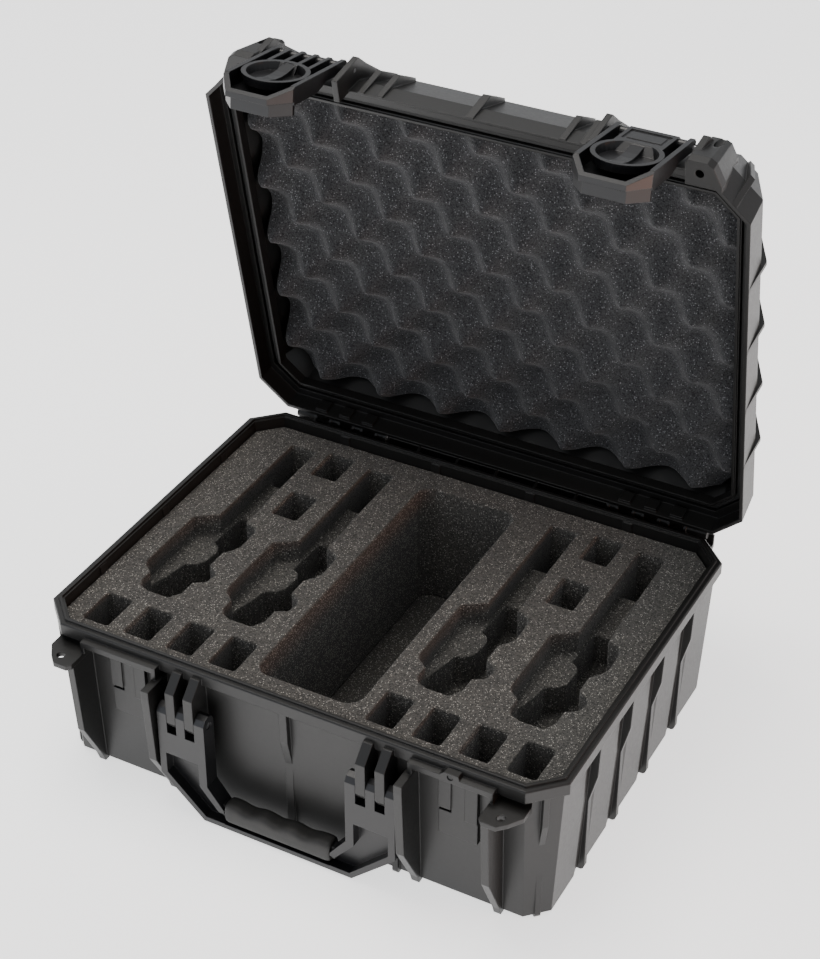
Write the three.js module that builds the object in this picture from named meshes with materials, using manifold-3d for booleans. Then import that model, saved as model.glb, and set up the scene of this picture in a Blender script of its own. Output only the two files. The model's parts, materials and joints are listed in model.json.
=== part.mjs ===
// Moulded carrying case with a die-cut foam insert, built as separate parts (mm, +Z up).
//
// Everything is drawn in "rim" coordinates: z = 0 is the parting plane on top of the base rim, y = 0 the
// front edge of the rim and x = 0 the middle. The lid group is drawn closed and then swung open about the
// hinge axis. At the end the whole case is moved so that the origin lies at floor level, in the middle.
import * as THREE from 'three';
import Module from 'manifold-3d';
import { mergeVertices } from 'three/addons/utils/BufferGeometryUtils.js';

const wasm = await Module();
wasm.setup();

// ---- driving dimensions -------------------------------------------------------------------------------
const RIM_W = 475;              // base rim, outside
const RIM_D = 362;
const RIM_CHAMFER = 25.4;       // 45 degree corners of the rim
const BAND_H = 11.7;            // height of the band round the rim
const TUB_H = 142.5;            // parting plane to the underside of the tub
const FOOT_H = 4;               // feet below the tub
const WALL_TOP_IN = 4.5;        // wall below the band, measured in from the rim edge
const WALL_LOW_IN = 10.5;
const CAVITY_TOP_IN = 9;
const CAVITY_LOW_IN = 15;
const FLOOR_T = 4;
const GAP = 0.3;                // clearance between pieces that touch in real life

const LID_OPEN = 78.6;          // degrees from closed
const HINGE_Y = 380;
const HINGE_Z = -8.4;
const LID_OUT = 4.8;            // lid skirt overhang past the base rim at the sides
const LID_FRONT = -7.5;
const LID_BACK = 369.5;
const LID_CHAMFER = 27;
const SKIRT_Z = -16.5;          // lower edge of the lid skirt
const LID_STRAIGHT_Z = 16;      // the wall leans inwards above this height
const LID_TOP_Z = 56;
const LID_TOP_IN = 22;

const FOAM_TOP = -10;           // top face of the base foam
const FOAM_UPPER_T = 22;        // the laminated foam sheets
const FOAM_PAD_T = 6;
const CASE_IN = { x: 47, y0: 34.5, y1: 328, r: 12 };   // big centre pocket

const LATCH_X = 152;            // centre of each latch
const LATCH_TILT = 17.5;        // how far the latches stand open
const GUARD_X = 115.6;          // rib beside each handle arm
const CORNER_X = 189;           // rib under each padlock ear
const SIDE_RIB_Y = [86, 150, 214, 278];
const HINGE_PLATE_X = [114, 122.8, 138, 147.5, 162.5, 172, 187.5];

// ---- colours ------------------------------------------------------------------------------------------
const paint = (color, roughness, metalness = 0) =>
  new THREE.MeshStandardMaterial({ color, roughness, metalness });
const SHELL = paint(0x1c1c1e, 0.55);
const GLOSSY = paint(0x26272a, 0.38);
const FOAM = paint(0x3a3835, 0.95);
const LID_FOAM = paint(0x2e3036, 0.95);
const RUBBER = paint(0x131313, 0.8);
const STEEL = paint(0x9a9c9e, 0.35, 1);

// ---- helpers ------------------------------------------------------------------------------------------
const v2 = ([a, b]) => new THREE.Vector2(a, b);

function solid(geometry) {
  geometry.deleteAttribute('normal');
  geometry.deleteAttribute('uv');
  const g = mergeVertices(geometry, 1e-4);
  const mesh = new wasm.Mesh({
    numProp: 3,
    vertProperties: new Float32Array(g.attributes.position.array),
    triVerts: new Uint32Array(g.index.array),
  });
  return new wasm.Manifold(mesh);
}

function box(x0, x1, y0, y1, z0, z1) {
  const g = new THREE.BoxGeometry(x1 - x0, y1 - y0, z1 - z0);
  return solid(g.translate((x0 + x1) / 2, (y0 + y1) / 2, (z0 + z1) / 2));
}

function extrude(points, depth) {
  return new THREE.ExtrudeGeometry(new THREE.Shape(points.map(v2)), { depth, bevelEnabled: false, steps: 1 });
}

// prism with an (x, y) outline from z0 up to z1
const prismZ = (points, z0, z1) => solid(extrude(points, z1 - z0).translate(0, 0, z0));

// prism with a (y, z) outline from x0 to x1
function prismX(points, x0, x1) {
  const turn = new THREE.Matrix4().makeBasis(
    new THREE.Vector3(0, 1, 0), new THREE.Vector3(0, 0, 1), new THREE.Vector3(1, 0, 0));
  return solid(extrude(points, x1 - x0).applyMatrix4(turn).translate(x0, 0, 0));
}

// prism with an (x, z) outline from y0 to y1
function prismY(points, y0, y1) {
  const turn = new THREE.Matrix4().makeBasis(
    new THREE.Vector3(1, 0, 0), new THREE.Vector3(0, 0, 1), new THREE.Vector3(0, -1, 0));
  return solid(extrude(points, y1 - y0).applyMatrix4(turn).translate(0, y1, 0));
}

// prism whose outline changes, point by point, from low at z0 to high at z1
function taper(low, high, z0, z1) {
  const g = extrude(low, z1 - z0);
  const p = g.attributes.position;
  for (let i = 0; i < p.count; i++) {
    if (p.getZ(i) < (z1 - z0) / 2) continue;
    const k = low.findIndex(([x, y]) => Math.hypot(x - p.getX(i), y - p.getY(i)) < 1e-4);
    p.setXY(i, ...high[k]);
  }
  return solid(g.translate(0, 0, z0));
}

// rectangle with 45 degree corners, inset from the base rim
function rimOutline(inset, chamfer = RIM_CHAMFER - 0.586 * inset) {
  return chamfered(RIM_W / 2 - inset, inset, RIM_D - inset, chamfer);
}

function chamfered(hx, y0, y1, c) {
  return [[-hx + c, y0], [hx - c, y0], [hx, y0 + c], [hx, y1 - c],
    [hx - c, y1], [-hx + c, y1], [-hx, y1 - c], [-hx, y0 + c]];
}

// the lid outline, inset from the outer edge of its skirt
function lidOutline(inset) {
  return chamfered(RIM_W / 2 + LID_OUT - inset, LID_FRONT + inset, LID_BACK - inset, LID_CHAMFER - 0.586 * inset);
}

function roundedRect(x0, x1, y0, y1, r, n = 3) {
  const corners = [[x1 - r, y0 + r, -90], [x1 - r, y1 - r, 0], [x0 + r, y1 - r, 90], [x0 + r, y0 + r, 180]];
  return corners.flatMap(([cx, cy, a]) => Array.from({ length: n + 1 }, (_, i) => {
    const t = THREE.MathUtils.degToRad(a + (90 * i) / n);
    return [cx + r * Math.cos(t), cy + r * Math.sin(t)];
  }));
}

// cylinder along X, n sided, standing on a flat
function rod(radius, x0, x1, y, z, n = 16) {
  const g = new THREE.CylinderGeometry(radius, radius, x1 - x0, n).rotateZ(Math.PI / 2);
  return solid(g.translate((x0 + x1) / 2, y, z));
}

const union = (list) => list.reduce((a, b) => a.add(b));
const mirrorX = (points) => points.map(([x, y]) => [-x, y]).reverse();
const onSide = (s, points) => (s > 0 ? points : mirrorX(points));
const span = (s, a, b) => (s > 0 ? [a, b] : [-b, -a]);

// ---- base shell ---------------------------------------------------------------------------------------
const wallIn = (z) => WALL_TOP_IN + (WALL_LOW_IN - WALL_TOP_IN) * (-z / TUB_H);

// outline of a rib on a vertical wall: u runs outwards, u = 0 on the rim edge
function sideRib(low = -TUB_H) {
  const w = wallIn(low);
  return [[-14, -BAND_H + 2], [0, -BAND_H + 2], [-1, -42], [-7.6, -70], [-w + 3, low], [-w + 2, low - 2.6],
    [-w, low - FOOT_H], [-w - 5, low - FOOT_H], [-w - 8, low + 1], [-w - 4, low + 20]];
}

function ribsAlongSides(s) {
  const edge = RIM_W / 2;
  return SIDE_RIB_Y.map((y) =>
    prismY(onSide(s, sideRib().map(([u, z]) => [edge + u, z])), y - 2.5, y + 2.5));
}

function ribOnFrontWall(x, t) {
  return prismX(sideRib().map(([u, z]) => [-u, z]).reverse(), x - t / 2, x + t / 2);
}

// the same rib turned 45 degrees, on the cut-off front corner
function ribOnFrontCorner(s, rib) {
  return rib.rotate([0, 0, s * 45]).translate([s * (RIM_W / 2 - RIM_CHAMFER / 2), RIM_CHAMFER / 2, 0]);
}

// shallow hollow in the side wall in front of each rib
const FLUTE = { half: 12, depth: 2.2, back: 4, steps: 6 };

function sideFlute(s, y) {
  const outline = (z) => {
    const wall = RIM_W / 2 - wallIn(z), mid = y - FLUTE.back;
    const arc = Array.from({ length: FLUTE.steps + 1 }, (_, i) => {
      const t = 1 - (2 * i) / FLUTE.steps;
      return [wall - FLUTE.depth * Math.cos((Math.PI * t) / 2) + 0.01, mid + FLUTE.half * t];
    });
    return onSide(s, [[wall + 8, mid - FLUTE.half], [wall + 8, mid + FLUTE.half], ...arc]);
  };
  return taper(outline(-TUB_H - 1), outline(-BAND_H), -TUB_H - 1, -BAND_H);
}

function ribOnBackWall(x, t) {
  return prismX(sideRib().map(([u, z]) => [RIM_D + u, z]), x - t / 2, x + t / 2);
}

function guardRib(s) {
  const profile = [[14, -18], [-22.6, -18], [-22.6, -26], [-18.6, -94], [-16, -99], [5, -138],
    [8, -TUB_H - FOOT_H], [13, -TUB_H - FOOT_H], [18, -TUB_H + 1]];
  return prismX(profile.reverse(), ...span(s, GUARD_X - 3.5, GUARD_X + 3.5));
}

function cornerEar(s) {
  const plan = [[185.5, 16], [185.5, -24], [189, -27.5], [201, -27.5], [208, -20.5], [216, -9], [216, 4], [211, 16]];
  const ear = prismZ(onSide(s, plan), -21.5, -17);
  const hole = prismZ(roundedRect(s * 201 - 3.6, s * 201 + 3.6, -20.4, -13.2, 3.5), -30, -10);
  const rib = [[14, -18], [-22, -18], [-21, -30], [-16.5, -94], [-14, -99], [5, -138],
    [8, -TUB_H - FOOT_H], [13, -TUB_H - FOOT_H], [18, -TUB_H + 1]];
  return ear.subtract(hole).add(prismX(rib.reverse(), ...span(s, CORNER_X - 3.2, CORNER_X + 3.2)));
}

// bar that the latch hooks under, its two turned-down ends and the stepped pad behind the latch
function latchStrike(s) {
  const [x0, x1] = span(s, 115.4, 188.6);
  const bar = prismX([[2, -6], [-6.4, -6.5], [-6.4, -12], [-4.4, -12], [-3.8, -9.5], [2, -9.5]], x0, x1);
  const ends = [x0, x1 - 3.5].map((x) => box(x, x + 3.5, -6.4, 6, -18, -8));
  const mid = s > 0 ? 155 : -149;
  const pads = [
    box(mid - 17, mid + 17, 3.2, 14, -76, -52),
    box(mid - 17, mid - 6, 1.6, 14, -48, -18),
    box(mid + 6, mid + 17, 1.6, 14, -54, -18),
    box(mid - 6, mid + 6, 3.2, 14, -53, -18),
  ];
  return union([bar, ...ends, ...pads]);
}

const HUMP_X = 152;

function valveHump() {
  const face = [[-9, -9.6], [9, -9.6], [7, -2.6], [-5, -2.6], [-9, -6.2]].map(([x, z]) => [HUMP_X + x, z]);
  return prismY(face, -6.4, 2);
}

// short cylinder along Y in the hump, for the vent and for its hole
const ventCylinder = (radius, y0, y1) =>
  solid(new THREE.CylinderGeometry(radius, radius, y1 - y0, 16).translate(HUMP_X, (y0 + y1) / 2, -6.4));

// two plates per side carry each handle pin
const EAR_PLATES = [[74.7, 83.3], [92.1, 100.5]];
const HANDLE_LUGS = [[65, 74.4], [83.6, 91.8], [100.8, 109.8]];
const HANDLE_PIN = { y: -8, z: -44 };

function handleEars(s) {
  const profile = [[10, -5], [-3, -5], [-16, -18], [-16, -49], [-13, -54.5], [-8, -57], [0, -54], [10, -46]];
  return union(EAR_PLATES.map(([a, b]) => prismX(profile, ...span(s, a, b))));
}

function hingeCarrier(s) {
  const plate = [[352, -17.6], [372, -17.6], [374.8, -11], [374.8, -7], [377, -3.6], [380, -2.4], [383.4, -3.8],
    [385.4, -7.4], [385.4, -24], [379, -37], [352, -60]];
  const plates = HINGE_PLATE_X.map((x) => prismX(plate, s * x - 1.4, s * x + 1.4));
  const barrels = [[114, 122.8], [138, 147.5], [162.5, 172], [187.5, 208]].map(([a, b]) =>
    rod(4.6, ...span(s, a, b), HINGE_Y, HINGE_Z));
  return union([...plates, ...barrels]);
}

function baseShell() {
  let body = taper(rimOutline(WALL_LOW_IN, 17), rimOutline(WALL_TOP_IN), -TUB_H, -2)
    .add(prismZ(rimOutline(0), -BAND_H, -1.2))
    .add(taper(rimOutline(0), rimOutline(1.2), -1.2, 0))
    .add(prismZ(rimOutline(4.5), -1, 2));
  for (const s of [-1, 1]) for (const y of SIDE_RIB_Y) body = body.subtract(sideFlute(s, y));
  const parts = [
    ribOnFrontWall(0, 7), ribOnFrontWall(-97, 5), ribOnFrontWall(97, 5),
    ribOnFrontCorner(-1, ribOnFrontWall(0, 5)), ribOnFrontCorner(1, ribOnFrontWall(0, 5)),
    ...[-80, 0, 80].map((x) => ribOnBackWall(x, 5)),
    valveHump(),
    box(-70, 70, 70, 300, -TUB_H - FOOT_H, -TUB_H + 1),
  ];
  for (const s of [-1, 1]) {
    parts.push(...ribsAlongSides(s), guardRib(s), cornerEar(s), latchStrike(s), handleEars(s), hingeCarrier(s));
  }
  // rear ledge below the hinge gutter, its raised back edge and its thin upright ribs
  parts.push(prismX([[350, -50], [387, -25], [387, -12], [385, -12], [385, -21], [350, -26]], -212, 212));
  for (const x of [-80, -40, 0, 40, 80]) {
    parts.push(prismX([[352, -18], [371, -18], [384, -10], [385.4, -12], [385.4, -23], [352, -40]], x - 1.2, x + 1.2));
  }
  body = body.add(union(parts));
  const cavity = taper(rimOutline(CAVITY_LOW_IN, 15), rimOutline(CAVITY_TOP_IN), -TUB_H + FLOOR_T, -1)
    .add(prismZ(rimOutline(CAVITY_TOP_IN), -1.2, 5))
    .add(prismZ(rimOutline(7.2), 0, 5));
  body = body.subtract(cavity).subtract(ventCylinder(2.6, -8, -2.6));
  for (const s of [-1, 1]) {
    // bores: handle pin, hinge pin; nibs that hold the foam down
    body = body.subtract(rod(3.3, ...span(s, 70, 108), HANDLE_PIN.y, HANDLE_PIN.z, 16));
    body = body.subtract(rod(2.1, ...span(s, 110, 205), HINGE_Y, HINGE_Z, 16));
    for (const y of [84, 180, 276]) {
      const nib = [[RIM_W / 2 - 9.8, -1.4], [RIM_W / 2 - 10.6, -9.7], [RIM_W / 2 - 8.6, -9.7], [RIM_W / 2 - 8.6, -1.4]];
      body = body.add(prismY(onSide(s, nib), y - 4.5, y + 4.5));
    }
    for (const x of [s * 47.5, s * 142.5]) {
      body = body.add(prismX([[9.8, -1.4], [8.6, -1.4], [8.6, -9.7], [10.6, -9.7]], x - 4.5, x + 4.5));
      body = body.add(prismX([[RIM_D - 8.6, -1.4], [RIM_D - 9.8, -1.4], [RIM_D - 10.6, -9.7], [RIM_D - 8.6, -9.7]],
        x - 4.5, x + 4.5));
    }
  }
  return body;
}

// ---- foam insert --------------------------------------------------------------------------------------
// one long device pocket; x from the left side of its slot, y from the rim front
const DEVICE = [[24.5, 329], [26, 204], [37, 201], [40.5, 195], [40.5, 170], [37, 163], [31, 156], [31, 136], [41, 130],
  [43, 124], [41, 114], [31, 108], [31, 91], [25, 82], [3, 82], [-5, 85], [-8, 92], [-8, 104], [-18, 112],
  [-19.5, 118], [-19, 190], [0, 203], [0, 329]];
const DEVICE_DEEP = [
  [[24.5, 329], [24.9, 290], [0, 290], [0, 329]],
  [[25.6, 232], [26, 204], [37, 201], [40.5, 195], [40.5, 170], [37, 163], [31, 156], [31, 136], [41, 130], [43, 124],
    [41, 114], [31, 108], [31, 91], [25, 82], [3, 82], [-5, 85], [-8, 92], [-8, 104], [-13, 108.5], [-13, 116],
    [-8.5, 132], [-5, 151], [4, 155], [9, 162], [10.4, 180], [7, 187], [0.5, 190], [2, 205], [3, 232]],
];
const DEVICE_X = [-185.5, -103.5, 81, 164];
const SLOT = { w: 25, d: 38 };
const SLOTS = [
  ...[-196.4, -155.4, -114, -72.9, 72.9, 114, 155.4, 196.4].map((x) => [x, 44.4]),
  ...[-134.5, 134.5].flatMap((x) => [[x, 246], [x, 315]]),
];

const cavityIn = (z) => CAVITY_LOW_IN + (CAVITY_TOP_IN - CAVITY_LOW_IN) * ((z + TUB_H - FLOOR_T) / (TUB_H - FLOOR_T - 1));
const LAYERS = {
  upper: [FOAM_TOP - FOAM_UPPER_T, FOAM_TOP],
  middle: [-TUB_H + FLOOR_T + FOAM_PAD_T + 2 * GAP, FOAM_TOP - FOAM_UPPER_T - GAP],
  pad: [-TUB_H + FLOOR_T + GAP, -TUB_H + FLOOR_T + FOAM_PAD_T + GAP],
};

function foamBlock([z0, z1]) {
  const outline = (z) => rimOutline(cavityIn(z) + GAP, 15 + (20.1 - 15) * ((z + TUB_H) / TUB_H));
  return taper(outline(z0), outline(z1), z0, z1);
}

const shiftX = (points, dx) => points.map(([x, y]) => [x + dx, y]);

function foamUpper() {
  const [z0, z1] = LAYERS.upper;
  const cuts = [prismZ(roundedRect(-CASE_IN.x, CASE_IN.x, CASE_IN.y0, CASE_IN.y1, CASE_IN.r), z0 - 1, z1 + 1)];
  for (const dx of DEVICE_X) cuts.push(prismZ(shiftX(DEVICE, dx), z0 - 1, z1 + 1));
  for (const [x, y] of SLOTS) {
    cuts.push(box(x - SLOT.w / 2, x + SLOT.w / 2, y - SLOT.d / 2, y + SLOT.d / 2, z0 - 1, z1 + 1));
  }
  return foamBlock(LAYERS.upper).subtract(union(cuts));
}

function foamMiddle() {
  const [z0, z1] = LAYERS.middle;
  const cuts = [prismZ(roundedRect(-CASE_IN.x, CASE_IN.x, CASE_IN.y0, CASE_IN.y1, CASE_IN.r), z0 - 1, z1 + 1)];
  for (const dx of DEVICE_X) {
    for (const part of DEVICE_DEEP) cuts.push(prismZ(shiftX(part, dx), z1 - 30, z1 + 1));
  }
  for (const [x, y] of SLOTS) {
    cuts.push(box(x - SLOT.w / 2, x + SLOT.w / 2, y - SLOT.d / 2, y + SLOT.d / 2, z1 - 38, z1 + 1));
  }
  return foamBlock(LAYERS.middle).subtract(union(cuts));
}

// ---- lid (drawn closed) -------------------------------------------------------------------------------
// outline of a rib on the lid wall: u runs outwards, u = 0 on the skirt edge
const lidRib = (z0, zs = 22) => [[-12, z0], [0, z0], [0, zs], [-17.5, LID_TOP_Z - 2], [-30, LID_TOP_Z - 2], [-30, 20]];

function lidRibsOnSide(s) {
  const edge = RIM_W / 2 + LID_OUT;
  return SIDE_RIB_Y.map((y) =>
    prismY(onSide(s, lidRib(SKIRT_Z + 1).map(([u, z]) => [edge + u, z])), y - 2, y + 2));
}

const lidRibFront = (x, z0, t = 4) => prismX(lidRib(z0, 31).map(([u, z]) => [LID_FRONT - u, z]).reverse(), x - t / 2, x + t / 2);
const lidRibBack = (x, t = 4) => prismX(lidRib(6, 16).map(([u, z]) => [LID_BACK + u, z]), x - t / 2, x + t / 2);

function ribOnLidCorner(s) {
  const rib = prismX(lidRib(SKIRT_Z + 1).map(([u, z]) => [-u, z]).reverse(), -2.5, 2.5);
  const edge = RIM_W / 2 + LID_OUT - LID_CHAMFER / 2;
  return rib.rotate([0, 0, s * 45]).translate([s * edge, LID_FRONT + LID_CHAMFER / 2, 0]);
}

// blocks each side of a latch; the outer one ends in the padlock ear
function latchBlocks(s) {
  const profile = [[6, SKIRT_Z], [-24.5, SKIRT_Z], [-24.5, 20], [-12, 31], [10, 53], [24, 53], [24, 12]];
  const inner = prismX(profile, ...span(s, 109.6, 114.8));
  const outer = prismX(profile, ...span(s, 189.2, 195));
  const low = [[189.2, 10], [189.2, -24.5], [191, -27.5], [207, -27.5], [212, -24], [219, -8], [219, 10]];
  const high = [[189.2, 16], [189.2, -12], [191, -14], [203, -14], [207, -12], [212, 0], [212, 16]];
  const ear = prismZ(onSide(s, low), SKIRT_Z, -8).add(taper(onSide(s, low), onSide(s, high), -8.5, 34));
  const hole = prismZ(roundedRect(s * 201 - 3.6, s * 201 + 3.6, -20.4, -13.2, 3.5), SKIRT_Z - 3, 40);
  return union([inner, outer, ear]).subtract(hole);
}

const LATCH_PIN = { y: -16.8, z: 12.2 };

function lidKnuckles(s) {
  return [[122.8, 138], [147.5, 162.5], [172, 187.5]].map(([a, b]) => {
    const [x0, x1] = span(s, a + 1.8, b - 1.8);
    const arm = prismX([[364, -13], [369, -13.4], [380, -12.6], [380, -4.2], [369, -1], [364, -1]], x0, x1);
    return arm.add(rod(4.6, x0, x1, HINGE_Y, HINGE_Z));
  });
}

// space inside the lid: a straight mouth inside the seal flange, then wider behind it
function lidHollow() {
  const mouth = prismZ(rimOutline(12), -0.5, 9);
  return mouth.add(taper(lidOutline(6.6), lidOutline(7), 8.4, LID_STRAIGHT_Z))
    .add(taper(lidOutline(7), lidOutline(LID_TOP_IN + 4), LID_STRAIGHT_Z, LID_TOP_Z - 4));
}

function lidShell() {
  let body = taper(lidOutline(0), lidOutline(2.6), SKIRT_Z, LID_STRAIGHT_Z)
    .add(taper(lidOutline(2.6), lidOutline(LID_TOP_IN), LID_STRAIGHT_Z, LID_TOP_Z));
  const parts = [
    lidRibFront(0, -1.5, 7),
    ribOnLidCorner(-1), ribOnLidCorner(1), box(-60, 60, 100, 262, LID_TOP_Z - 1, LID_TOP_Z + 2),
  ];
  for (const x of [-98, -81, 81, 98]) parts.push(lidRibFront(x, -1.5, 5.5));
  for (const s of [-1, 1]) {
    parts.push(...lidRibsOnSide(s), latchBlocks(s), ...[40, 150].map((x) => lidRibBack(s * x)));
    parts.push(box(...span(s, 120, 196), 60, 110, LID_TOP_Z - 1, LID_TOP_Z + 2));
    parts.push(box(...span(s, 120, 196), 252, 302, LID_TOP_Z - 1, LID_TOP_Z + 2));
  }
  body = body.add(union(parts));
  // hollow above the rim flange, then the space inside the skirt that drops over the base rim
  const skirtSpace = prismZ(lidOutline(3.2), SKIRT_Z - 1, 0.6);
  const groove = prismZ(rimOutline(3.2), 0, 5.2).subtract(prismZ(rimOutline(8.6), -1, 7));
  const innerLip = prismZ(rimOutline(9.6), -1, 1).subtract(prismZ(rimOutline(12), -2, 2));
  body = body.subtract(skirtSpace).subtract(lidHollow()).subtract(groove).add(innerLip);
  // the skirt is cut away between the latches, where the handle plates stand up
  body = body.subtract(box(-109.6, 109.6, -12, 3.6, SKIRT_Z - 1, -1.5));
  // and in front of each latch, so the hook can reach its bar
  for (const s of [-1, 1]) {
    body = body.subtract(box(...span(s, 114.8, 189.2), -12, -3.8, SKIRT_Z - 1, -1.5));
    body = body.add(union(lidKnuckles(s)));
    body = body.subtract(rod(2.1, ...span(s, 110, 205), HINGE_Y, HINGE_Z, 16));
    body = body.subtract(rod(2.1, ...span(s, 105, 196), LATCH_PIN.y, LATCH_PIN.z, 16));
  }
  return body;
}

function lidSeal() {
  return prismZ(rimOutline(3.5), 2.3, 4.9).subtract(prismZ(rimOutline(8.3), 2, 6));
}

// convoluted foam: staggered rounded peaks on a 31 mm grid
const EGG = { pitch: 31, depth: 13, mid: 17, back: 60, step: 31 / 3 };

function lidFoam() {
  const nx = 46, ny = 36;
  const x1 = (nx * EGG.step) / 2, y0 = 0, y1 = ny * EGG.step;
  const g = new THREE.PlaneGeometry(2 * x1, y1 - y0, nx, ny).translate(0, (y0 + y1) / 2, 0);
  const p = g.attributes.position;
  for (let i = 0; i < p.count; i++) {
    const wave = Math.cos((Math.PI * p.getX(i)) / EGG.pitch) * Math.cos((Math.PI * p.getY(i)) / EGG.pitch);
    p.setZ(i, EGG.mid + EGG.depth * wave);
  }
  return reliefSlab(g, nx, ny, EGG.back)
    .intersect(taper(rimOutline(12.6), lidOutline(LID_TOP_IN + 5), 2, LID_TOP_Z - 4.4));
}

// closes a relief surface into a slab that reaches up to a flat back
function reliefSlab(g, nx, ny, back) {
  const top = g.attributes.position, n = top.count, row = nx + 1;
  const pos = [];
  for (let i = 0; i < n; i++) pos.push(top.getX(i), top.getY(i), top.getZ(i));
  const rimIds = [];
  for (let i = 0; i < nx; i++) rimIds.push(i);
  for (let j = 0; j < ny; j++) rimIds.push(nx + j * row);
  for (let i = nx; i > 0; i--) rimIds.push(ny * row + i);
  for (let j = ny; j > 0; j--) rimIds.push(j * row);
  const first = pos.length / 3;
  for (const id of rimIds) pos.push(top.getX(id), top.getY(id), back);
  const centre = pos.length / 3;
  pos.push(0, (top.getY(0) + top.getY(n - 1)) / 2, back);
  const tris = [];
  const index = g.index.array;
  for (let i = 0; i < index.length; i += 3) tris.push(index[i], index[i + 2], index[i + 1]);
  rimIds.forEach((id, k) => {
    const next = (k + 1) % rimIds.length;
    tris.push(rimIds[next], id, first + k, rimIds[next], first + k, first + next, centre, first + next, first + k);
  });
  const out = new THREE.BufferGeometry();
  out.setAttribute('position', new THREE.Float32BufferAttribute(pos, 3));
  out.setIndex(tris);
  return solid(out);
}

// ---- latch (drawn along its own face: u across, t down its length, n out of the face) --------------------
const latchTurn = THREE.MathUtils.degToRad(LATCH_TILT);
const FACE = { y: -21, z: 18.8 };

// moves a part drawn as (x, -n, -t) so that its face line starts at FACE and leans out by the tilt
function placeLatch(part, s) {
  const m = new THREE.Matrix4().makeRotationX(-latchTurn);
  m.premultiply(new THREE.Matrix4().makeTranslation(s * LATCH_X, FACE.y, FACE.z));
  return part.transform(m.elements);
}

const PIN_T = 5, PIN_N = -6;    // latch pin, from the face line

function latchFrame() {
  const rail = [[3, 0.4], [0, -2.6], [0, -83], [9.2, -83], [9.2, -8], [7, -1]];
  const rails = [-32.2, 28.2].map((x) => prismX(rail, x, x + 4));
  const tipOuter = [[-32.2, -80], [-32.2, -86], [-19, -104], [19, -104], [32.2, -86], [32.2, -80]];
  const tipInner = [[-28.2, -78], [-28.2, -84], [-16.4, -99.6], [16.4, -99.6], [28.2, -84], [28.2, -78]];
  const skirtOuter = [[-31, -81], [-31, -84], [-17.5, -98.5], [17.5, -98.5], [31, -84], [31, -81]];
  const skirtInner = [[-28.2, -78], [-28.2, -83], [-16.4, -95.6], [16.4, -95.6], [28.2, -83], [28.2, -78]];
  // the bezel follows the face down towards the tip
  const bezel = prismY(tipOuter, 0, 12.4).subtract(prismY(tipInner, -3, 13))
    .subtract(prismX([[-4, -82], [0, -82], [7.8, -104], [7.8, -110], [-4, -110]], -40, 40));
  const skirt = prismY(skirtOuter, 11.6, 24).subtract(prismY(skirtInner, 10, 25));
  const floor = prismX([[8.8, -37], [13.6, -50], [13.6, -84], [15.2, -84], [15.2, -49], [10.4, -36]], -30.2, 30.2);
  const sides = [-32.2, 28.2].map((x) => prismX([[8, -35], [8, -84], [15.2, -84], [15.2, -49], [10.4, -36]], x, x + 4));
  const end = [[-28.4, -84], [-16.6, -98], [16.6, -98], [28.4, -84]];
  return union([...rails, ...sides, bezel, skirt, floor, prismY(end, 13.6, 15.2)])
    .subtract(rod(2.1, -40, 40, -PIN_N, -PIN_T, 16));
}

function ringCup() {
  const outer = solid(new THREE.CylinderGeometry(26, 27.9, 7.6, 32).translate(0, 4, -59));
  const bowl = solid(new THREE.CylinderGeometry(22, 24.6, 9, 32).translate(0, 2.5, -59));
  const web = prismX([[7.4, -36], [0.6, -36], [3.6, -50], [4.2, -59], [3.6, -68], [0.6, -82], [7.4, -82]], -5.4, 5.4);
  const disc = solid(new THREE.CylinderGeometry(25.4, 25.4, 7.4, 32).translate(0, 4, -59));
  return outer.subtract(bowl).add(web.intersect(disc));
}

// hook that catches the bar on the base, and its pivot block
function hookBlock() {
  return prismX([[9.8, -1.2], [9.8, -33.2], [16.8, -33.2], [16.8, -29.9], [13.2, -29.9], [12.6, -2]], -26, 26)
    .add(rod(4.4, -27.9, 27.9, -PIN_N, -PIN_T, 16));
}

function latchInsertFins() {
  const fin = [[0.2, -4], [0.2, -38], [7.6, -44], [7.6, -37], [10.2, -33], [10.2, -2], [3, -0.6]];
  const fins = [-19, -6.6, 5.8, 18.2].map((x) => prismX([...fin], x - 1.8, x + 1.8));
  return union([ringCup(), hookBlock(), ...fins]).subtract(rod(2.1, -40, 40, -PIN_N, -PIN_T, 16));
}

function latchInsertPlate() {
  const plate = prismX([[0.4, -4], [0.4, -38], [7.6, -44], [7.6, -37], [10.2, -33], [10.2, -2], [3, -0.6]], -20, 20)
    .subtract(box(-17, 17, -1, 1.4, -31, -9));
  return union([ringCup(), hookBlock(), plate, box(-14, 14, 0.8, 3, -27, -13)])
    .subtract(rod(2.1, -40, 40, -PIN_N, -PIN_T, 16));
}

// ---- handle -------------------------------------------------------------------------------------------
const HANDLE_FRONT = -16, HANDLE_BACK = -1;
const GRIP_CORE = { y: [-12.6, -4.6], z: [-133.4, -121.2] };

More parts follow.
